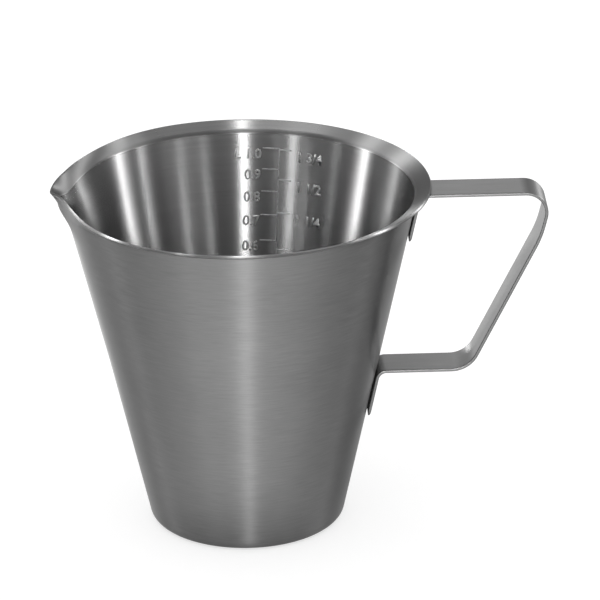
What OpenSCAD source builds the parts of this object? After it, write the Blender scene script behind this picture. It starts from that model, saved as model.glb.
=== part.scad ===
// Tapered steel measuring jug: a drawn shell with a flared rim, a pressed pouring lip and a
// stamped scale inside, and a bent strap handle that spot welds hold to the wall.
// Millimetres. The origin is the middle of the underside, +Z is up, the handle is on +X
// and the pouring lip on -X.

/* [Shell] */
// Height from the table to the top of the round rim
shell_height = 134.8; // [115:0.1:170]
// Outside diameter of the wall, carried down to the table
foot_diameter = 73.6; // [60:0.1:90]
// Outside diameter of the wall at the bend below the rim
mouth_diameter = 132.3; // [115:0.1:150]
// Thickness of the sheet
sheet = 1; // [0.6:0.1:1.5]
// Outside radius of the drawn corner at the foot
foot_radius = 4; // [2.5:0.5:8]

/* [Rim] */
// Rise of the flared rim above its bend
rim_rise = 2.5; // [2:0.1:5]
// Reach of the flared rim beyond the wall
rim_reach = 5.3; // [3:0.1:9]
// Radius of the bend below the rim, on its outside
rim_bend_radius = 0.8; // [0.4:0.1:2]

/* [Pouring lip] */
// Reach of the lip's tip beyond the round rim
lip_reach = 0.6; // [0.3:0.1:6]
// Azimuth, from the tip, at which the lip's straight flanks join the round rim
lip_spread = 39; // [25:1:42]
// Rise of the flanks' crests above the round rim
lip_rise = 2.1; // [0.5:0.1:4]

/* [Handle] */
// Width of the strap
strap_width = 16; // [10:0.5:24]
// Thickness of the strap
strap_thickness = 1.2; // [0.8:0.1:2]
// Top of the upper strap below the top of the round rim
strap_drop = 3; // [2.5:0.1:15]
// Height between the upper and the lower strap
strap_spacing = 71.2; // [55:0.1:85]
// Reach of the grip's upper corner from the wall's mouth
grip_top_reach = 50.6; // [40:0.1:65]
// Reach of the slight bend in the grip from the wall's mouth
grip_knuckle_reach = 46.2; // [36:0.1:60]
// Depth of the slight bend below the upper strap
grip_knuckle_drop = 17.6; // [14:0.1:25]
// Reach of the grip's lower corner from the wall's mouth
grip_foot_reach = 19; // [10:0.1:35]
// Inside radius of the grip's upper corner
grip_top_radius = 7.3; // [4:0.1:9]
// Inside radius of the slight bend in the grip
grip_knuckle_radius = 39; // [20:1:50]
// Inside radius of the grip's lower corner
grip_foot_radius = 10; // [5:0.5:14]
// Inside radius of the bends where the strap turns down the wall
root_radius = 3; // [1.5:0.1:5]
// Length of each tab, from its end to the corner of the strap
tab_length = 18.5; // [16:0.5:25]

/* [Spot welds] */
// Diameter of a weld nugget
nugget_diameter = 4.5; // [3:0.1:6]
// Depth of a nugget in the wall and in the strap
nugget_bite = 0.4; // [0.2:0.05:0.5]
// Distance between the two nuggets of a tab
nugget_pitch = 7.5; // [6.5:0.1:9]
// Distance from the tab's end to the first nugget
nugget_margin = 4; // [3.5:0.1:5]
// Gap between the tab and the wall around the nuggets
weld_gap = 0.05; // [0.02:0.01:0.2]

/* [Scale] */
// Azimuth of the scale's upright line, counted from the handle
scale_azimuth = 75.4; // [60:0.1:110]
// Length of a litre mark, round the wall
litre_mark_length = 6.4; // [3:0.1:10]
// Length of a pint mark, round the wall
pint_mark_length = 5; // [3:0.1:10]
// Height of a mark and width of the upright line
mark_width = 0.7; // [0.4:0.1:1.2]
// How far the marks stand out of the wall
mark_relief = 0.25; // [0.1:0.05:0.5]

/* [Hidden] */
$fn = 120;
// How far a cut runs past the face that it opens, and a mark is sunk into the wall
overrun = 0.3;
// Straight pieces that a drawn corner, a bend and each flank of the lip are made of
corner_steps = 8;
rim_bend_steps = 5;
strap_bend_steps = 12;
lip_steps = 18;
// The crest's place between the tip and the end of its flank
lip_crest_share = 0.32;
// A litre fills a cube with edges of this length, and a pint is a share of a litre
litre_cube_edge = 100;
pint_share = 0.568261;
litre = pow(litre_cube_edge, 3);
pint = pint_share * litre;
litre_mark_shares = [for (tenth = [1:10]) tenth / 10];
pint_mark_shares = [for (quarter = [1:7]) quarter / 4];
upper_tab = 0;
lower_tab = 1;

// The sheet's outer face in section: the underside, the wall and the flared rim
foot_r = foot_diameter / 2;
mouth_r = mouth_diameter / 2;
rim_angle = atan2(rim_rise, rim_reach);
bend_z = shell_height - rim_rise - sheet * cos(rim_angle);
section_start = [0, 0];
section_foot = [foot_r, 0];
section_bend = [mouth_r, bend_z];
section_edge = [mouth_r + rim_reach, bend_z + rim_rise];
wall_slope = (mouth_r - foot_r) / bend_z;
wall_angle = atan(wall_slope);
wall_out = [cos(wall_angle), -sin(wall_angle)];
wall_up = [sin(wall_angle), cos(wall_angle)];

// The lip in plan, with its tip on +x before it is turned to its side: each flank is a straight line
// from the tip to the round rim, and a power brings its crest to the middle of a half turn
rim_r = section_edge.x;
lip_tip = [rim_r + lip_reach, 0];
lip_end = rim_r * [cos(lip_spread), sin(lip_spread)];
flank_length = norm(lip_end - lip_tip);
flank_heading = heading(lip_tip, lip_end);
lip_skew = ln(1 / 2) / ln(lip_crest_share);

// The strap's middle line, from the end of the upper tab round to the end of the lower one
tab_offset = (weld_gap + strap_thickness / 2) / cos(wall_angle);
upper_z = shell_height - strap_drop - strap_thickness / 2;
lower_z = upper_z - strap_spacing;
upper_root = [wall_r(upper_z) + tab_offset, upper_z];
lower_root = [wall_r(lower_z) + tab_offset, lower_z];
strap_path = [
    upper_root - tab_length * wall_up,
    upper_root,
    [mouth_r + grip_top_reach, upper_z],
    [mouth_r + grip_knuckle_reach, upper_z - grip_knuckle_drop],
    [mouth_r + grip_foot_reach, lower_z],
    lower_root,
    lower_root - tab_length * wall_up
];
strap_bend_radii = [
    for (inside = [root_radius, grip_top_radius, grip_knuckle_radius, grip_foot_radius, root_radius])
        inside + strap_thickness / 2
];
tab_roots = [upper_root, lower_root];

// Radius of the wall's outer face at height z
function wall_r(z) = foot_r + wall_slope * z;

// Radius of the wall's inner face at height z
function inner_r(z) = wall_r(z) - sheet / cos(wall_angle);

// Height at which the jug holds this volume: a cone frustum on the inside floor
function fill_height(volume) =
    let (floor_r = inner_r(sheet))
    sheet + (pow(pow(floor_r, 3) + 3 * wall_slope * volume / PI, 1 / 3) - floor_r) / wall_slope;

function reversed(list) = [for (i = [len(list) - 1:-1:0]) list[i]];

// Direction from p to q, in degrees
function heading(p, q) = atan2(q.y - p.y, q.x - p.x);

// Turn of a path at its corner q, in degrees, positive to the left
function turn_at(p, q, r) =
    let (a = q - p, b = r - q)
    atan2(a.x * b.y - a.y * b.x, a * b);

// Length that a bend of this radius takes from each side of its corner
function bend_length(p, q, r, radius) = radius * tan(abs(turn_at(p, q, r)) / 2);

// Centre of the bend that rounds the corner q
function bend_centre(p, q, r, radius) =
    let (h = heading(p, q), side = sign(turn_at(p, q, r)))
    q - bend_length(p, q, r, radius) * [cos(h), sin(h)] + side * radius * [-sin(h), cos(h)];

// Points along that bend, moved to the left of the path by inset
function bend_points(p, q, r, radius, inset, steps) =
    let (turn = turn_at(p, q, r), side = sign(turn), start = heading(p, q) - side * 90)
    [for (i = [0:steps])
        let (a = start + turn * i / steps)
        bend_centre(p, q, r, radius) + (radius - side * inset) * [cos(a), sin(a)]];

function foot_points(inset) =
    bend_points(section_start, section_foot, section_bend, foot_radius, inset, corner_steps);

function rim_points(inset) =
    concat(
        bend_points(section_foot, section_bend, section_edge, rim_bend_radius, inset, rim_bend_steps),
        [section_edge + inset * [-sin(rim_angle), cos(rim_angle)]]
    );

// The sheet turned all round: floor, drawn corner, wall and flared rim
module round_shell() {
    rotate_extrude()
        polygon(concat(
            [section_start],
            foot_points(0),
            rim_points(0),
            reversed(rim_points(sheet)),
            reversed(foot_points(sheet)),
            [[0, sheet]]
        ));
}

// Draws a thing on both flanks of the lip, where x runs from the tip along the flank and y into the jug
module on_flanks() {
    for (side = [0, 1])
        mirror([0, side, 0])
            rotate([0, 0, 180])
                translate(lip_tip)
                    rotate([0, 0, flank_heading])
                        children();
}

// The stretch of the round rim outside a flank
module flank_cut() {
    translate([-flank_length, sheet / 2 - flank_length, bend_z])
        cube([2 * flank_length, flank_length, shell_height - bend_z + overrun]);
}

// A point of the flank in plan, at a distance from the tip
function flank_point(s) = lip_tip + s * [cos(flank_heading), sin(flank_heading)];

// Height of the flank's crest there
function flank_top(s) =
    let (p = flank_point(s))
    shell_height + lip_rise * sin(180 * pow(atan2(p.y, p.x) / lip_spread, lip_skew));

// Height there inside the sheet of the rim that the flank grows out of
function flank_foot(s) = section_bend.y + (norm(flank_point(s)) - mouth_r) * tan(rim_angle) + sheet / 4;

// A flank of the lip: the rim's sheet, turned up beside the tip
module flank() {
    places = [for (i = [0:lip_steps]) i / lip_steps * flank_length];
    translate([0, sheet, 0])
        rotate([90, 0, 0])
            linear_extrude(sheet)
                polygon(concat(
                    [for (s = places) [s, flank_foot(s)]],
                    [for (s = reversed(places)) [s, flank_top(s)]]
                ));
}

// A raised mark on the inside of the wall, between two heights and two azimuths
module raised_mark(low, high, start, angle) {
    rotate([0, 0, start])
        rotate_extrude(angle = angle)
            polygon([
                [inner_r(low) - mark_relief, low],
                [inner_r(low) + overrun, low],
                [inner_r(high) + overrun, high],
                [inner_r(high) - mark_relief, high]
            ]);
}

// A level mark of this length, from the upright line towards the side given
module level_mark(volume, length, side) {
    z = fill_height(volume);
    angle = length / inner_r(z) * 180 / PI;
    if (z + mark_width < bend_z)
        raised_mark(z - mark_width / 2, z + mark_width / 2, scale_azimuth - (side < 0 ? angle : 0), angle);
}

module measuring_scale() {
    lowest = fill_height(litre_mark_shares[0] * litre);
    highest = min(fill_height(litre), bend_z - mark_width);
    line_angle = mark_width / inner_r(highest) * 180 / PI;
    raised_mark(lowest, highest, scale_azimuth - line_angle / 2, line_angle);
    for (share = litre_mark_shares) level_mark(share * litre, litre_mark_length, 1);
    for (share = pint_mark_shares) level_mark(share * pint, pint_mark_length, -1);
}

// The two nuggets of a tab, across the gap between the wall and the strap
module nuggets(tab) {
    for (i = [0:1]) {
        along = tab_length - nugget_margin - i * nugget_pitch;
        place = tab_roots[tab] - along * wall_up - (weld_gap + strap_thickness / 2 + nugget_bite) * wall_out;
        translate([place.x, 0, place.y])
            rotate([0, 90 + wall_angle, 0])
                cylinder(d = nugget_diameter, h = weld_gap + 2 * nugget_bite);
    }
}

module body_shell() {
    color([0.60, 0.60, 0.60])
        difference() {
            union() {
                difference() {
                    round_shell();
                    on_flanks() flank_cut();
                }
                on_flanks() flank();
                measuring_scale();
            }
            nuggets(upper_tab);
            nuggets(lower_tab);
        }
}

// One face of the strap along its path, to the left of the middle line by inset
function strap_points(inset) =
    let (
        last = len(strap_path) - 1,
        start = heading(strap_path[0], strap_path[1]),
        end = heading(strap_path[last - 1], strap_path[last])
    )
    concat(
        [strap_path[0] + inset * [-sin(start), cos(start)]],
        [for (i = [1:last - 1])
            each bend_points(
                strap_path[i - 1], strap_path[i], strap_path[i + 1],
                strap_bend_radii[i - 1], inset, strap_bend_steps
            )],
        [strap_path[last] + inset * [-sin(end), cos(end)]]
    );

module handle_strap() {
    color([0.66, 0.66, 0.66])
        difference() {
            rotate([90, 0, 0])
                linear_extrude(strap_width, center = true)
                    polygon(concat(
                        strap_points(strap_thickness / 2),
                        reversed(strap_points(-strap_thickness / 2))
                    ));
            nuggets(upper_tab);
            nuggets(lower_tab);
        }
}

module upper_spot_welds() {
    color([0.45, 0.45, 0.46]) nuggets(upper_tab);
}

module lower_spot_welds() {
    color([0.45, 0.45, 0.46]) nuggets(lower_tab);
}

body_shell();
handle_strap();
upper_spot_welds();
lower_spot_welds();
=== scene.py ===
import bpy
import numpy as np
from mathutils import Matrix, Vector


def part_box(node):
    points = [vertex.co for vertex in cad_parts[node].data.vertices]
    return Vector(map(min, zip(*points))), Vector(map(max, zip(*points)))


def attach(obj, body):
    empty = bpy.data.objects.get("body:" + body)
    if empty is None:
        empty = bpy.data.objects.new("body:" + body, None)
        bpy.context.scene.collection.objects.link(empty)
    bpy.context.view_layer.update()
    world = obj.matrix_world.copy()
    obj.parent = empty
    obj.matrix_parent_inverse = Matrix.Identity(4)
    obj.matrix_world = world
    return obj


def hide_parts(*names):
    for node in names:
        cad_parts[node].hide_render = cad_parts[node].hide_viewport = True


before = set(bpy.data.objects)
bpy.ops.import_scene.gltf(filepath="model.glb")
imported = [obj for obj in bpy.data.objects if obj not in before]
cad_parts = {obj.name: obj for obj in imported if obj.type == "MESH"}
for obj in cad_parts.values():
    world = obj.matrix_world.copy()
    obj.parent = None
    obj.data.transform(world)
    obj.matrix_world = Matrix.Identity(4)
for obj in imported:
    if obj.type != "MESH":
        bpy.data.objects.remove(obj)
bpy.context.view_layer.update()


# The shell is one cup, deep-drawn from stainless sheet: floor, foot corner, tapered wall, flared rim
# and pressed pouring lip are a single piece of metal. The outside is brushed round to a satin, and
# the inside keeps the brighter face that the drawing tool left.
mm = 0.001
shell_low, shell_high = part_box("body_shell")
lip_rise = 2.1 * mm
rim_top = shell_high.z - lip_rise
rim_radius = shell_high.y
sheet = 1.0 * mm
foot_radius = 36.8 * mm
foot_corner = 4.0 * mm
mouth_radius = 66.15 * mm
rim_rise = 2.5 * mm
rim_bend = 0.2 * mm
cut_edge_round = 0.12 * mm
floor_middle = 0.5 * mm

rim_angle = np.arctan2(rim_rise, rim_radius - mouth_radius)
bend_height = rim_top - rim_rise - sheet * np.cos(rim_angle)
wall_slope = (mouth_radius - foot_radius) / bend_height
wall_angle = np.arctan(wall_slope)

lip_reach = -shell_low.x - rim_radius
lip_tip_spread = np.radians(8.6)
lip_draw_in = 3.05 * mm
lip_drawn_from, lip_drawn_to = np.radians(14), np.radians(70)
lip_crest = 2.25 * mm
lip_crest_from, lip_crest_to = np.radians(6), np.radians(43)
lip_notch_spread = np.radians(6)
flank_push_out = 0.6 * mm
flank_bend_drop = 2.0 * mm
flank_depth = 14.0 * mm
nose_reach = 2.6 * mm
nose_spread = np.radians(7)
nose_depth = 8.5 * mm
nose_run = 6.0 * mm
swell_reach = 0.95 * mm
swell_spread = np.radians(25)
swell_from, swell_to = 66.0 * mm, 118.0 * mm

# How far the dull finish and its painted shade reach: about the bend, on the rim near the X axis and on
# the cut edge.
bend_dull_and_shade = 0.3 * mm
ends_dull_and_shade_from, ends_dull_and_shade_to = np.radians(42), np.radians(66)
cut_edge_dull_and_shade = 0.4

wave_height = 0.03 * mm
tab_cosine_from, tab_cosine_to = 0.9, 0.99
pucker_height = 0.14 * mm
pucker_radius = 5.0 * mm

section_points = (6, 76, 8)
wall_crowding = 1.5
corner_steps = 9
cut_edge_points = 7
shell_columns = 420
finer_at_lip = 0.55


def rounded_path(corners, radii, run_shares, arc_steps):
    """Points along straight runs whose corners are rounded. A corner that turns by t with radius r takes
    r * tan(t / 2) from both of its runs, and the heading turns evenly along its arc."""
    corners = np.asarray(corners, float)
    runs = np.diff(corners, axis=0)
    headings = np.arctan2(runs[:, 1], runs[:, 0])
    along = np.stack([np.cos(headings), np.sin(headings)], 1)
    turns = (np.diff(headings) + np.pi) % (2 * np.pi) - np.pi
    trims = np.asarray(radii) * np.tan(np.abs(turns) / 2)
    starts = corners[:-1] + along * np.append(0, trims)[:, None]
    ends = corners[1:] - along * np.append(trims, 0)[:, None]
    points, angles = [], []
    for i, shares in enumerate(run_shares):
        points.append(starts[i] + (ends[i] - starts[i]) * shares[:, None])
        angles.append(np.full(len(shares), headings[i]))
        if i < len(turns):
            side = np.sign(turns[i])
            turned = headings[i] + turns[i] * np.linspace(0, 1, arc_steps + 1)[1:-1]
            centre = ends[i] + side * radii[i] * np.array([-along[i, 1], along[i, 0]])
            points.append(centre + side * radii[i] * np.stack([np.sin(turned), -np.cos(turned)], 1))
            angles.append(turned)
    return np.concatenate(points), np.concatenate(angles)


def smoothstep(t):
    """0 below 0, 1 above 1, and 3t^2 - 2t^3 between."""
    t = np.clip(t, 0, 1)
    return t * t * (3 - 2 * t)


def fading(value, start, end):
    """1 below start, 0 above end, and a smooth step between."""
    return 1 - smoothstep((value - start) / (end - start))


def bell(value, spread):
    """exp(-(value / spread)^2): 1 in the middle, and almost 0 at twice the spread."""
    return np.exp(-((value / spread) ** 2))


def path_lengths(points):
    """Length along a line of points, from its first point."""
    steps = np.linalg.norm(np.diff(points, axis=0), axis=1)
    return np.append(0, np.cumsum(steps))


def tube_faces(rows, columns):
    """Faces of a grid whose last column joins its first: a quad for each cell, and one face that closes
    each end. Seen from outside, columns run to the right where rows run up."""
    index = np.arange(rows * columns).reshape(rows, columns)
    beside = np.roll(index, -1, axis=1)
    quads = np.stack([index[:-1], beside[:-1], beside[1:], index[1:]], axis=-1).reshape(-1, 4)
    return quads.tolist() + [index[0, ::-1].tolist(), index[-1].tolist()]


def tube_uv(row_lengths, column_lengths):
    """For each corner of tube_faces, the length along its row's and its column's line, in metres."""
    u, v = np.meshgrid(row_lengths, column_lengths, indexing="ij")
    uv = np.stack([u, v], axis=-1)
    cells = np.stack([uv[:-1, :-1], uv[:-1, 1:], uv[1:, 1:], uv[1:, :-1]], axis=2).reshape(-1, 2)
    return np.concatenate([cells, uv[0, -2::-1], uv[-1, :-1]])


def make_piece(name, points, faces, uv, dulled_and_shaded=None):
    """A smooth-shaded mesh object from points and faces. Its UV map, called brushing, follows the lines
    of the finish. A value per point is 1 where the finish is rougher and the grey darker: partly a dull
    finish that shearing, pressing or a sharp bend left, and partly painted shade."""
    mesh = bpy.data.meshes.new(name)
    mesh.from_pydata(points.tolist(), [], faces)
    mesh.polygons.foreach_set("use_smooth", np.ones(len(faces), bool))
    layer = mesh.uv_layers.new(name="brushing")
    layer.data.foreach_set("uv", uv.astype(np.float32).ravel())
    if dulled_and_shaded is not None:
        dull_and_shade = mesh.attributes.new("dulled_and_shaded", "FLOAT", "POINT")
        dull_and_shade.data.foreach_set("value", dulled_and_shaded.astype(np.float32).ravel())
    piece = bpy.data.objects.new(name, mesh)
    bpy.context.scene.collection.objects.link(piece)
    return piece


def outer_section():
    """The sheet's outer face in section, before the lip is pressed: out along the underside, round the
    foot corner, up the wall, round the bend and out along the flared rim to its cut edge. The points lie
    closer together towards the bend."""
    edge = np.array([rim_radius, bend_height + rim_rise])
    along_rim = np.array([np.cos(rim_angle), np.sin(rim_angle)])
    corners = [
        (floor_middle, 0),
        (foot_radius, 0),
        (mouth_radius, bend_height),
        edge - cut_edge_round * along_rim,
    ]
    floor_shares, wall_shares, rim_shares = [np.linspace(0, 1, count) for count in section_points]
    wall_shares = 1 - (1 - wall_shares) ** wall_crowding
    shares = [floor_shares, wall_shares, rim_shares]
    return rounded_path(corners, [foot_corner, rim_bend], shares, corner_steps)[0]


def from_tip(azimuth):
    """Angle from the lip's tip, which points along -X."""
    return np.abs((azimuth + 2 * np.pi) % (2 * np.pi) - np.pi)


def pressed_lip(azimuth, radius, height):
    """Outward and upward moves that press the lip into the round shell. By the angle from the tip, bells
    make the rim's edge reach out at the tip, a short nose bulge under it and a long, gentle swell run
    down the wall, and smooth steps draw in and fold up the flanks beside the tip. A point takes the
    edge's move by its share of the way from the bend to the edge, and the bend's by the rest."""
    away = from_tip(azimuth)
    tip = bell(away, lip_tip_spread)
    drawn = fading(away, lip_drawn_from, lip_drawn_to)
    flank = fading(away, lip_crest_from, lip_crest_to) - bell(away, lip_notch_spread)
    nose = nose_reach * bell(away, nose_spread)
    swell = swell_reach * bell(away, swell_spread)

    to_edge = np.clip((radius - mouth_radius) / (rim_radius - mouth_radius), 0, 1)
    below = height - bend_height
    flank_fade = smoothstep(1 + below / flank_depth)
    nose_fade = smoothstep((below + nose_depth) / nose_run)
    swell_fade = np.clip((height - swell_from) / (swell_to - swell_from), 0, 1)

    edge_out = (lip_reach + lip_draw_in) * tip - lip_draw_in * drawn
    edge_up = lip_crest * flank
    bend_up = -flank_bend_drop * flank * flank_fade
    bend_out = nose * nose_fade + swell * swell_fade + flank_push_out * flank * flank_fade
    outwards = edge_out * to_edge + (bend_out + wall_slope * bend_up) * (1 - to_edge)
    upwards = edge_up * to_edge + bend_up * (1 - to_edge)
    return outwards, upwards


def wall_waves(azimuth, height):
    """Slow waves of a few hundredths of a millimetre that drawing and brushing leave in the wall: a sine
    with five waves round it and a weaker one with nine, which lean as they climb. They fade out at the
    foot, and on the side where the handle's tabs lie flat on the wall."""
    up = height / rim_top
    waves = np.sin(5 * azimuth + 0.9 + 9 * up) + 0.6 * np.sin(9 * azimuth + 2.1 - 5 * up)
    off_tabs = fading(np.cos(azimuth), tab_cosine_from, tab_cosine_to)
    return wave_height * smoothstep(height / foot_radius) * off_tabs * waves


def pressed_shell(azimuth, radius, height):
    """The shell's skin as grids of radius and height, a row for each point of the section and a column
    for each azimuth. The outer face is the section, pressed to the lip; the inner face lies one sheet
    along the outer face's own normal; between them a few rows of points round the cut edge."""
    outwards, upwards = pressed_lip(azimuth, radius, height)
    outer_r = radius + outwards + wall_waves(azimuth, height)
    outer_z = height + upwards
    step_r, step_z = np.gradient(outer_r, axis=0), np.gradient(outer_z, axis=0)
    step = np.hypot(step_r, step_z)
    along_r, along_z = step_r / step, step_z / step
    inner_r, inner_z = outer_r - sheet * along_z, outer_z + sheet * along_r
    turn = np.radians(np.linspace(-90, 90, cut_edge_points + 2))[1:-1, None]
    through = sheet * (1 + np.sin(turn)) / 2
    beyond = cut_edge_round * np.sqrt(np.cos(turn))
    cut_r = outer_r[-1] - through * along_z[-1] + beyond * along_r[-1]
    cut_z = outer_z[-1] + through * along_r[-1] + beyond * along_z[-1]
    grid_r = np.concatenate([outer_r, cut_r, inner_r[::-1]])
    grid_z = np.concatenate([outer_z, cut_z, inner_z[::-1]])
    return grid_r, grid_z


def dulled_and_shaded_shell(azimuth, radius, height):
    """How far the finish is dull and the grey darker at each point of pressed_shell. The outer face is
    dull and darker where the lip was pressed, by smooth steps of the angle from the tip and of the depth
    below
    the bend: painted shade under the lip's flange. The cut edge is partly dull and darker all round, and
    fully so at the lip, and the inner face is so by a bell about the bend: a rougher finish with painted
    shade. On the rim near the X axis, at the lip and at the handle, the inner face is dull and darker by
    a
    smooth step of the angle from it: painted shade on the flange, with a rougher finish."""
    at_lip = fading(from_tip(azimuth), lip_crest_from, lip_crest_to)
    outer = at_lip * smoothstep(1 + (height - bend_height) / flank_depth)
    cut = np.tile(np.maximum(at_lip, cut_edge_dull_and_shade), (cut_edge_points, 1))
    bend = bell(np.hypot(radius - mouth_radius, height - bend_height), bend_dull_and_shade)
    from_x_axis = np.arccos(np.abs(np.cos(azimuth)))
    ends = fading(from_x_axis, ends_dull_and_shade_from, ends_dull_and_shade_to)
    inner = np.maximum(bend, ends * (radius > mouth_radius))
    return np.concatenate([outer, cut, inner[::-1]])


turn = np.linspace(0, 2 * np.pi, shell_columns, endpoint=False)
azimuth = (turn + finer_at_lip * np.sin(turn))[None, :]
section = outer_section()
section_r, section_z = section[:, :1], section[:, 1:]
shell_r, shell_z = pressed_shell(azimuth, section_r, section_z)
shell_inside = np.arange(len(shell_r))[:, None] >= len(section) + cut_edge_points // 2

# The welds' heat puckers the wall behind each tab. Only the inside shows it: the tabs hide the outside.
strap_drop = 3.0 * mm
strap_thickness = 1.2 * mm
strap_spacing = 71.2 * mm
tab_length = 18.5 * mm
nugget_margin = 4.0 * mm
nugget_pitch = 7.5 * mm
upper_height = rim_top - strap_drop - strap_thickness / 2
lower_height = upper_height - strap_spacing
behind_tab = shell_inside & (np.cos(azimuth) > 0)
for strap_height in (upper_height, lower_height):
    for nugget in (nugget_margin, nugget_margin + nugget_pitch):
        weld_height = strap_height - (tab_length - nugget) * np.cos(wall_angle)
        off_weld = np.hypot(shell_r * np.sin(azimuth), shell_z - weld_height)
        shell_r = shell_r + behind_tab * pucker_height * bell(off_weld, pucker_radius)

shell_points = np.stack([shell_r * np.cos(azimuth), shell_r * np.sin(azimuth), shell_z], axis=-1)
shell = make_piece(
    "jug_shell",
    shell_points.reshape(-1, 3),
    tube_faces(len(shell_r), shell_columns),
    tube_uv(
        path_lengths(np.stack([shell_r[:, 0], shell_z[:, 0]], 1)),
        np.append(azimuth[0], 2 * np.pi) * mouth_radius,
    ),
    dulled_and_shaded_shell(azimuth, section_r, section_z),
)


def linear(code):
    """An sRGB hex colour as linear red, green, blue and alpha."""
    value = np.array([int(code[i : i + 2], 16) for i in (1, 3, 5)]) / 255
    value = np.where(value <= 0.04045, value / 12.92, ((value + 0.055) / 1.055) ** 2.4)
    return (*value.tolist(), 1.0)


def add(tree, kind, settings, inputs):
    """Adds a node with its settings. An input that is given a socket is linked, and any other is set."""
    node = tree.nodes.new("ShaderNode" + kind)
    for key, value in settings.items():
        setattr(node, key, value)
    for key, value in inputs.items():
        if isinstance(value, bpy.types.NodeSocket):
            tree.links.new(value, node.inputs[key])
        else:
            node.inputs[key].default_value = value
    return node


line_share = 0.7
noise_low, noise_high = 0.3, 0.7
edge_tint = 0.7


def brushed_steel(name, greys, roughness, anisotropy, source, line_scale, line_relief, cloud):
    """Stainless steel with fine parallel lines. Noise that is stretched along the lines mixes the first
    two greys and the first two roughnesses, and lifts the surface; a wide, soft noise clouds the tone.
    Where the piece's dull value is 1, the third grey and roughness hold: a rougher finish, and a third
    grey that paints shade. The shine is smeared across the lines, along the U of the piece's brushing
    map, and the edge tint keeps it grey at a slant."""
    material = bpy.data.materials.new(name)
    material.use_nodes = True
    tree = material.node_tree
    shader = tree.nodes["Principled BSDF"]
    place = add(tree, "TexCoord", {}, {})
    stretched = add(tree, "Mapping", {}, {"Vector": place.outputs[source], "Scale": line_scale})
    lines = add(
        tree,
        "TexNoise",
        {},
        {"Vector": stretched.outputs[0], "Scale": 1.0, "Detail": 4.0, "Roughness": 0.6},
    )
    patches = add(
        tree, "TexNoise", {}, {"Vector": place.outputs["Object"], "Scale": 1 / cloud, "Detail": 3.0}
    )
    line_part = add(tree, "Math", {"operation": "MULTIPLY"}, {0: lines.outputs["Fac"], 1: line_share})
    mixed = add(
        tree,
        "Math",
        {"operation": "MULTIPLY_ADD"},
        {0: patches.outputs["Fac"], 1: 1 - line_share, 2: line_part.outputs[0]},
    )
    tone = add(
        tree,
        "MapRange",
        {},
        {"Value": mixed.outputs[0], "From Min": noise_low, "From Max": noise_high},
    )
    brushed = add(
        tree,
        "Mix",
        {"data_type": "RGBA"},
        {"Factor": tone.outputs[0], 6: linear(greys[0]), 7: linear(greys[1])},
    )
    dull_and_shade = add(tree, "Attribute", {"attribute_name": "dulled_and_shaded"}, {})
    colour = add(
        tree,
        "Mix",
        {"data_type": "RGBA"},
        {"Factor": dull_and_shade.outputs["Fac"], 6: brushed.outputs[2], 7: linear(greys[2])},
    )
    brushed_rough = add(
        tree,
        "MapRange",
        {},
        {
            "Value": lines.outputs["Fac"],
            "From Min": noise_low,
            "From Max": noise_high,
            "To Min": roughness[0],
            "To Max": roughness[1],
        },
    )
    rough = add(
        tree,
        "MapRange",
        {},
        {"Value": dull_and_shade.outputs["Fac"], "To Min": brushed_rough.outputs[0], "To Max": roughness[2]},
    )
    bump = add(
        tree, "Bump", {}, {"Strength": 1.0, "Distance": line_relief, "Height": lines.outputs["Fac"]}
    )
    tangent = add(tree, "Tangent", {"direction_type": "UV_MAP", "uv_map": "brushing"}, {})
    tree.links.new(colour.outputs[2], shader.inputs["Base Color"])
    tree.links.new(rough.outputs[0], shader.inputs["Roughness"])
    tree.links.new(bump.outputs[0], shader.inputs["Normal"])
    tree.links.new(tangent.outputs[0], shader.inputs["Tangent"])
    shader.inputs["Metallic"].default_value = 1.0
    shader.inputs["Specular Tint"].default_value = (edge_tint, edge_tint, edge_tint, 1.0)
    shader.inputs["Anisotropic"].default_value = anisotropy
    return material


# Satin stainless: belt lines run round the wall, so a light shows as a soft upright band.
# Real lines lie under 0.1 mm apart; they are drawn 0.45 mm apart so that they show.
belt_line_length = 8 * mm
belt_line_spacing = 0.45 * mm
# The third grey, much darker, is painted shade under the lip's flange and on the outer cut edge.
satin_steel = brushed_steel(
    "satin_stainless_outside",
    greys=("#585858", "#626262", "#424242"),
    roughness=(0.28, 0.32, 0.6),
    anisotropy=0.92,
    source="Object",
    line_scale=(1 / belt_line_length, 1 / belt_line_length, 1 / belt_line_spacing),
    line_relief=0.003 * mm,
    cloud=22 * mm,
)
# Drawn stainless: smoother than the outside, so the same lights show inside as sharp bright streaks.
draw_line_length = 45 * mm
draw_line_spacing = 0.6 * mm
# The third grey, a little darker, is painted shade on the bend, the cut edge and the flange near the X
# axis.
drawn_steel = brushed_steel(
    "drawn_stainless_inside",
    greys=("#6A6A6A", "#747474", "#646464"),
    roughness=(0.25, 0.26, 0.6),
    anisotropy=1.0,
    source="Object",
    line_scale=(1 / draw_line_length, 1 / draw_line_length, 1 / draw_line_spacing),
    line_relief=0.0,
    cloud=30 * mm,
)
shell.data.materials.append(satin_steel)
shell.data.materials.append(drawn_steel)
wall_faces = np.repeat(shell_inside[:-1, 0], shell_columns)
shell.data.polygons.foreach_set("material_index", np.append(wall_faces, [False, True]).astype(np.int32))
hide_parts("body_shell")
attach(shell, "root")


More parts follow.
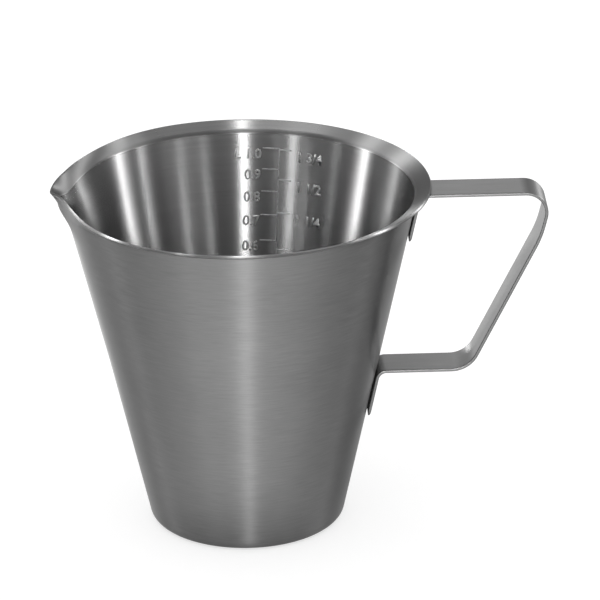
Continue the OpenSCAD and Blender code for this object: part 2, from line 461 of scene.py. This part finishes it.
# The scale is stamped into the wall, so its marks and numbers stand out on the inside: an upright line,
# litre marks to its left as one reads it, and pint marks to its right. They are part of the sheet.
scale_azimuth = np.radians(75.4)
litre_mark_length = 6.4 * mm
pint_mark_length = 5.0 * mm
mark_width = 0.45 * mm
mark_relief = 0.12 * mm
mark_sunk = 0.15 * mm
mark_arc_points = 9
mark_end_points = 6
number_relief = 0.25 * mm
number_height = 3.9 * mm
number_share_of_type = 0.73
number_drop = 2.4 * mm
number_edge_round = 0.2 * mm
number_thinned = 0.06 * mm
litre_number_gap = 0.6 * mm
pint_number_gap = 1.9 * mm
litre = 1e-3
pint = 0.568261e-3


def inner_radius(z):
    """Radius of the wall's inner face at a height."""
    return foot_radius + wall_slope * z - sheet / np.cos(wall_angle)


def fill_height(volume):
    """Height at which the jug holds a volume: a cone frustum that stands on the inside floor."""
    floor_r = inner_radius(sheet)
    return sheet + (np.cbrt(floor_r**3 + 3 * wall_slope * volume / np.pi) - floor_r) / wall_slope


def onto_wall(flat):
    """Carries a flat chart to the inner wall: x runs to the right as one reads it, from the upright line,
    y is the height and z the relief."""
    r = inner_radius(flat[:, 1])
    a = scale_azimuth - flat[:, 0] / r
    r = r - flat[:, 2] / np.cos(wall_angle)
    return np.stack([r * np.cos(a), r * np.sin(a), flat[:, 1]], 1)


def raised_line(start, end):
    """A half-round rib on the flat chart, with round ends. Along it the half width follows a circle at
    both ends; across it the relief follows a half ellipse, and a flat base closes it in the wall."""
    start, end = np.array(start), np.array(end)
    length = np.linalg.norm(end - start)
    along = (end - start) / length
    across = np.array([-along[1], along[0]])
    half = mark_width / 2
    ends = half * (1 - np.cos(np.linspace(0.05, 1, mark_end_points) * np.pi / 2))
    rows = np.concatenate([ends - half, length - (ends - half)[::-1]])
    overhang = np.maximum(np.maximum(-rows, rows - length), 0) / half
    width = half * np.sqrt(np.clip(1 - overhang**2, 0, 1))
    turn = np.linspace(0, np.pi, mark_arc_points)
    base = np.array([-0.5, 0.0, 0.5])
    sides = np.append(np.cos(turn), base)
    lift = np.append(mark_relief * np.sin(turn), np.full(len(base), -mark_sunk))
    centre = start + rows[:, None] * along
    xy = centre[:, None, :] + (width[:, None] * sides[None, :])[..., None] * across
    z = np.where(lift > 0, lift * (width / half)[:, None], np.minimum(lift, 0))
    z[:, [0, mark_arc_points - 1]] = -mark_sunk
    flat = np.concatenate([xy, z[..., None]], axis=-1)
    return flat.reshape(-1, 3), tube_faces(len(rows), len(sides))


def raised_text(text, x, y, align):
    """Numbers on the flat chart: a plain typeface, cut as a solid with rounded edges that stands on the
    wall."""
    curve = bpy.data.curves.new("number", "FONT")
    curve.body = text
    curve.size = number_height / number_share_of_type
    curve.align_x = align
    curve.align_y = "CENTER"
    curve.extrude = (number_relief + mark_sunk) / 2 - number_edge_round
    curve.bevel_depth = number_edge_round
    curve.offset = -number_thinned
    curve.bevel_resolution = 2
    curve.resolution_u = 4
    carrier = bpy.data.objects.new("number", curve)
    bpy.context.scene.collection.objects.link(carrier)
    solid = bpy.data.meshes.new_from_object(carrier)
    points = np.zeros(len(solid.vertices) * 3)
    solid.vertices.foreach_get("co", points)
    points = points.reshape(-1, 3) + [x, y, (number_relief - mark_sunk) / 2]
    faces = [list(polygon.vertices) for polygon in solid.polygons]
    bpy.data.objects.remove(carrier)
    bpy.data.curves.remove(curve)
    bpy.data.meshes.remove(solid)
    return points, faces


litre_tenths = range(1, 11)
pint_quarters = {1: "1/4", 2: "1/2", 3: "3/4", 4: "1", 5: "1 1/4", 6: "1 1/2", 7: "1 3/4"}
lowest_mark = fill_height(0.1 * litre)
highest_mark = fill_height(litre)
litre_number_x = -litre_mark_length - litre_number_gap
pint_number_x = pint_mark_length + pint_number_gap
charts = [raised_line((0, lowest_mark), (0, highest_mark))]
for tenth in litre_tenths:
    z = fill_height(tenth * litre / 10)
    label = "L 1.0" if tenth == 10 else f"0.{tenth}"
    charts.append(raised_line((0, z), (-litre_mark_length, z)))
    charts.append(raised_text(label, litre_number_x, z - number_drop, "RIGHT"))
for quarter, label in pint_quarters.items():
    z = fill_height(quarter * pint / 4)
    charts.append(raised_line((0, z), (pint_mark_length, z)))
    charts.append(raised_text(label, pint_number_x, z - number_drop, "LEFT"))

scale_points, scale_faces, scale_uv = [], [], []
count = 0
for flat, faces in charts:
    scale_points.append(onto_wall(flat))
    scale_faces += [[corner + count for corner in face] for face in faces]
    scale_uv.append(flat[np.concatenate(faces)][:, [1, 0]])
    count += len(flat)
scale = make_piece(
    "measuring_scale", np.concatenate(scale_points), scale_faces, np.concatenate(scale_uv)
)
# Stamped stainless: the die pressed the brushing flat, so the round relief glints from every side.
stamped_steel = brushed_steel(
    "stamped_stainless",
    greys=("#767676", "#868686", "#7E7E7E"),
    roughness=(0.26, 0.30, 0.3),
    anisotropy=0.0,
    source="Object",
    line_scale=(1 / mark_width, 1 / mark_width, 1 / mark_width),
    line_relief=0.0,
    cloud=10 * mm,
)
scale.data.materials.append(stamped_steel)
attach(scale, "root")


# The handle is one flat steel strip, bent cold round a former: upper strap, grip and lower strap, and a
# tab at each end that lies on the wall. Its edges are deburred, and it is brushed along its length.
strap_width = 16.0 * mm
strap_edge_round = 0.35 * mm
strap_end_round = strap_edge_round * np.array([1.0, 0.5, 0.2, 0.05])
grip_top_reach = 50.6 * mm
grip_knuckle_reach = 46.2 * mm
grip_knuckle_drop = 17.6 * mm
grip_foot_reach = 19.0 * mm
bend_inside_radii = np.array([3.0, 7.3, 39.0, 10.0, 3.0]) * mm
shaded_bend_radius = 8.76 * mm
weld_gap = 0.05 * mm
electrode_radius = 2.4 * mm
electrode_depth = 0.22 * mm
strap_run_points = (38, 24, 6, 24, 16, 38)
bend_steps = 12
face_points = 32
edge_points = 6

tab_offset = (weld_gap + strap_thickness / 2) / np.cos(wall_angle)
wall_up = np.array([np.sin(wall_angle), np.cos(wall_angle)])
upper_root = np.array([foot_radius + wall_slope * upper_height + tab_offset, upper_height])
lower_root = np.array([foot_radius + wall_slope * lower_height + tab_offset, lower_height])
strap_corners = [
    upper_root - tab_length * wall_up,
    upper_root,
    (mouth_radius + grip_top_reach, upper_height),
    (mouth_radius + grip_knuckle_reach, upper_height - grip_knuckle_drop),
    (mouth_radius + grip_foot_reach, lower_height),
    lower_root,
    lower_root - tab_length * wall_up,
]


def strap_section():
    """The strip in section, as distance out of its middle plane and distance across: a rectangle whose
    corners are quarter circles, with points spread along its two wide faces. Also says which points lie
    on the corners."""
    r = strap_edge_round
    half_out, half_across = strap_thickness / 2 - r, strap_width / 2 - r
    quarter = np.linspace(0, np.pi / 2, edge_points)
    wide = np.linspace(-half_across, half_across, face_points + 2)[1:-1]
    one_face = np.stack([np.full(len(wide), strap_thickness / 2), wide], 1)
    corner = np.stack([half_out + r * np.cos(quarter), half_across + r * np.sin(quarter)], 1)
    half = np.concatenate([one_face, corner, corner[::-1] * [-1, 1]])
    on_corner = np.tile(np.arange(len(half)) >= len(wide), 2)
    return np.concatenate([half, -half]) * [1, -1], on_corner


def drawn_in(sizes, by):
    """Sizes moved towards 0 by an amount, and not past it."""
    return np.sign(sizes) * np.maximum(np.abs(sizes) - by, 0)


strap_line, strap_headings = rounded_path(
    strap_corners,
    bend_inside_radii + strap_thickness / 2,
    [np.linspace(0, 1, count) for count in strap_run_points],
    bend_steps,
)
strap_normals = np.stack([-np.sin(strap_headings), np.cos(strap_headings)], 1)
strap_lengths = path_lengths(strap_line)
profile, profile_corner = strap_section()
rounded_off = np.zeros((len(strap_line), 1))
rounded_off[: len(strap_end_round), 0] = strap_end_round
rounded_off[-len(strap_end_round) :, 0] = strap_end_round[::-1]
strap_out = drawn_in(profile[None, :, 0], rounded_off)
strap_across = drawn_in(profile[None, :, 1], rounded_off)
dimple = np.zeros(strap_out.shape)
for end_length in (strap_lengths, strap_lengths[-1] - strap_lengths):
    for weld in (nugget_margin, nugget_margin + nugget_pitch):
        away_squared = (end_length - weld)[:, None] ** 2 + strap_across**2
        dimple += electrode_depth * bell(away_squared, electrode_radius**2)
strap_out = strap_out + np.where(strap_out < 0, dimple, 0)
strap_points = np.stack(
    [
        strap_line[:, :1] + strap_out * strap_normals[:, :1],
        strap_across,
        strap_line[:, 1:] + strap_out * strap_normals[:, 1:],
    ],
    axis=-1,
)
# Painted shade on the outside of the bends, more where the strip bends sharply; the rounded edges get it
# too.
curvature = -np.gradient(strap_headings, strap_lengths)
stretched = np.clip(curvature * shaded_bend_radius, 0, 1)[:, None] * (profile[None, :, 0] > 0)
strap = make_piece(
    "handle_strip",
    strap_points.reshape(-1, 3),
    tube_faces(len(strap_line), len(profile)),
    tube_uv(strap_lengths, path_lengths(np.concatenate([profile, profile[:1]])))[:, ::-1],
    np.maximum(profile_corner[None, :], stretched),
)
# Strip stainless: fine lines along the strip. Its third grey is painted shade, darker on the deburred
# edges and on the outside of the bends.
strip_line_spacing = 0.5 * mm
strip_line_length = 18 * mm
strip_steel = brushed_steel(
    "brushed_stainless_strip",
    greys=("#747474", "#848484", "#5A5A5A"),
    roughness=(0.36, 0.42, 0.42),
    anisotropy=0.5,
    source="UV",
    line_scale=(1 / strip_line_spacing, 1 / strip_line_length, 1.0),
    line_relief=0.002 * mm,
    cloud=18 * mm,
)
strap.data.materials.append(strip_steel)
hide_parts("handle_strap")
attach(strap, "root")


# Each tab is held by two spot welds: nuggets of metal fused between the strip and the wall. They lie
# hidden in the joint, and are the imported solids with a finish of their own.
fused_grain_size = 0.6 * mm
# Fused stainless: it set without being worked, so it is dull and grainy, and tinted by the heat.
fused_steel = bpy.data.materials.new("fused_stainless")
fused_steel.use_nodes = True
fused_tree = fused_steel.node_tree
fused_shader = fused_tree.nodes["Principled BSDF"]
fused_place = add(fused_tree, "TexCoord", {}, {})
fused_grain = add(
    fused_tree,
    "TexNoise",
    {},
    {"Vector": fused_place.outputs["Object"], "Scale": 1 / fused_grain_size, "Detail": 3.0},
)
fused_tone = add(
    fused_tree,
    "Mix",
    {"data_type": "RGBA"},
    {"Factor": fused_grain.outputs["Fac"], 6: linear("#4A4845"), 7: linear("#6E6C69")},
)
fused_tree.links.new(fused_tone.outputs[2], fused_shader.inputs["Base Color"])
fused_shader.inputs["Metallic"].default_value = 1.0
fused_shader.inputs["Roughness"].default_value = 0.55
for node_name in ("upper_spot_welds", "lower_spot_welds"):
    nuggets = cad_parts[node_name]
    nuggets.data.materials.clear()
    nuggets.data.materials.append(fused_steel)


# The stage is a pale floor that goes to white and keeps the jug's shadow, a white room, and soft lamps.
# The metal mirrors fans of light and shade on the floor, which the camera doesn't see there.
floor_half = 3.0
floor_grey = 0.5
floor_white = 0.62
front_fan_full_from = 2.1 * foot_radius
floor_corners = [(-1, -1, 0), (1, -1, 0), (1, 1, 0), (-1, 1, 0)]
floor_mesh = bpy.data.meshes.new("floor")
floor_mesh.from_pydata((np.array(floor_corners) * floor_half).tolist(), [], [(0, 1, 2, 3)])
floor = bpy.data.objects.new("floor", floor_mesh)
bpy.context.scene.collection.objects.link(floor)

floor_paint = bpy.data.materials.new("pale_floor")
floor_paint.use_nodes = True
floor_tree = floor_paint.node_tree
floor_tree.nodes.remove(floor_tree.nodes["Principled BSDF"])
floor_place = add(floor_tree, "TexCoord", {}, {})
rays = add(floor_tree, "LightPath", {}, {})


def fan(azimuth, half_width, strength):
    """Light or shade on the floor: strength along an azimuth from the camera's side, in degrees, and a
    smooth step to 0 at the half width."""
    a = np.radians(azimuth - 90)
    outwards = add(
        floor_tree, "VectorMath", {"operation": "NORMALIZE"}, {0: floor_place.outputs["Object"]}
    )
    facing = add(
        floor_tree,
        "VectorMath",
        {"operation": "DOT_PRODUCT"},
        {0: outwards.outputs[0], 1: (np.cos(a), np.sin(a), 0.0)},
    )
    apart = add(floor_tree, "Math", {"operation": "ARCCOSINE"}, {0: facing.outputs["Value"]})
    edge = np.radians(half_width)
    return add(
        floor_tree,
        "MapRange",
        {"interpolation_type": "SMOOTHSTEP"},
        {"Value": apart.outputs[0], "From Max": edge, "To Min": strength, "To Max": 0.0},
    ).outputs[0]


front_light = fan(azimuth=-5, half_width=95, strength=1.4)
right_shade = fan(azimuth=108, half_width=75, strength=-0.38)
back_light = fan(azimuth=-163, half_width=40, strength=1.3)
# The front fan fades out towards the foot: a painted shadow of the jug on the floor that the metal
# mirrors.
from_axis = add(floor_tree, "VectorMath", {"operation": "LENGTH"}, {0: floor_place.outputs["Object"]})
clear_of_foot = add(
    floor_tree,
    "MapRange",
    {"interpolation_type": "SMOOTHSTEP"},
    {"Value": from_axis.outputs["Value"], "From Min": foot_radius, "From Max": front_fan_full_from},
)
right_and_back = add(floor_tree, "Math", {"operation": "ADD"}, {0: right_shade, 1: back_light})
fans = add(
    floor_tree,
    "Math",
    {"operation": "MULTIPLY_ADD"},
    {0: front_light, 1: clear_of_foot.outputs[0], 2: right_and_back.outputs[0]},
)
camera_or_glossy = add(
    floor_tree,
    "Math",
    {"operation": "ADD", "use_clamp": True},
    {0: rays.outputs["Is Camera Ray"], 1: rays.outputs["Is Glossy Ray"]},
)
seen = add(
    floor_tree,
    "Math",
    {"operation": "ADD", "use_clamp": True},
    {0: camera_or_glossy.outputs[0], 1: rays.outputs["Is Transmission Ray"]},
)
white = add(floor_tree, "Math", {"operation": "MULTIPLY"}, {0: seen.outputs[0], 1: floor_white})
lit = add(
    floor_tree,
    "Math",
    {"operation": "MULTIPLY_ADD"},
    {0: fans.outputs[0], 1: rays.outputs["Is Glossy Ray"], 2: white.outputs[0]},
)
matt = add(floor_tree, "BsdfDiffuse", {}, {"Color": (floor_grey, floor_grey, floor_grey, 1.0)})
glow = add(floor_tree, "Emission", {}, {"Color": (1.0, 1.0, 1.0, 1.0), "Strength": lit.outputs[0]})
both = add(floor_tree, "AddShader", {}, {0: matt.outputs[0], 1: glow.outputs[0]})
floor_tree.links.new(both.outputs[0], floor_tree.nodes["Material Output"].inputs["Surface"])
floor.data.materials.append(floor_paint)

world = bpy.data.worlds.new("white_room")
world.use_nodes = True
bpy.context.scene.world = world
room = world.node_tree.nodes["Background"]
room.inputs["Color"].default_value = (1.0, 1.0, 1.0, 1.0)
room.inputs["Strength"].default_value = 1.0

lamp_aim = Vector((0, 0, 0.09))
lamp_distance = 1.9


def lamp(name, azimuth, elevation, width, height, radiance):
    """A soft oval box that faces the jug's mouth, placed by azimuth from the camera's side and elevation,
    in degrees. Only the metal mirrors it: the floor is lit by the room."""
    light = bpy.data.lights.new(name, "AREA")
    light.shape = "ELLIPSE"
    light.size = width
    light.size_y = height
    light.energy = radiance * np.pi * (np.pi / 4 * width * height)
    box = bpy.data.objects.new(name, light)
    a, e = np.radians(azimuth - 90), np.radians(elevation)
    away = Vector((np.cos(a) * np.cos(e), np.sin(a) * np.cos(e), np.sin(e)))
    box.location = lamp_aim + lamp_distance * away
    box.rotation_euler = away.to_track_quat("Z", "Y").to_euler()
    box.visible_camera = False
    box.visible_diffuse = False
    bpy.context.scene.collection.objects.link(box)


# Tall strips and boxes stand round the jug, and each shows as a streak inside or a band outside. A low
# lamp in front draws the band up the middle of the outside, and two high ones behind light the far rim.
lamp("front_strip", azimuth=-3, elevation=27, width=0.17, height=0.55, radiance=88)
lamp("right_strip", azimuth=92, elevation=26, width=0.07, height=0.55, radiance=300)
lamp("right_box", azimuth=73, elevation=26, width=0.06, height=0.55, radiance=85)
lamp("front_right_box", azimuth=40, elevation=27, width=1.10, height=0.55, radiance=2.9)
lamp("front_left_box", azimuth=-38, elevation=27, width=0.20, height=0.55, radiance=34)
lamp("left_line", azimuth=-72, elevation=26, width=0.06, height=0.55, radiance=28)
lamp("left_strip", azimuth=-97, elevation=26, width=0.07, height=0.55, radiance=380)
lamp("back_left_strip", azimuth=-132, elevation=24, width=0.05, height=0.55, radiance=500)
lamp("back_right_strip", azimuth=131, elevation=20, width=0.045, height=0.55, radiance=330)
lamp("back_left_box", azimuth=-152, elevation=60, width=1.0, height=0.8, radiance=2.2)
lamp("low_spine", azimuth=1, elevation=-0.9, width=0.30, height=0.11, radiance=220)
lamp("top_strip", azimuth=180, elevation=75, width=0.06, height=0.50, radiance=40)

# The camera stands where the photograph was taken: far off with a long lens, a little above the rim, and
# tilted by less than a degree.
camera_place = Vector((-27.55, -1578.56, 745.80)) * mm
camera_aim = Vector((21.376, -0.373, 87.414)) * mm
camera_roll = np.radians(-0.789)
camera_data = bpy.data.cameras.new("camera")
camera_data.lens = 270.06
camera_data.sensor_width = 36.0
camera_data.clip_end = 20.0
camera = bpy.data.objects.new("camera", camera_data)
look = (camera_aim - camera_place).to_track_quat("-Z", "Y").to_matrix().to_4x4()
camera.matrix_world = Matrix.Translation(camera_place) @ look @ Matrix.Rotation(camera_roll, 4, "Z")
bpy.context.scene.collection.objects.link(camera)
bpy.context.scene.camera = camera
bpy.context.scene.view_settings.view_transform = "Standard"
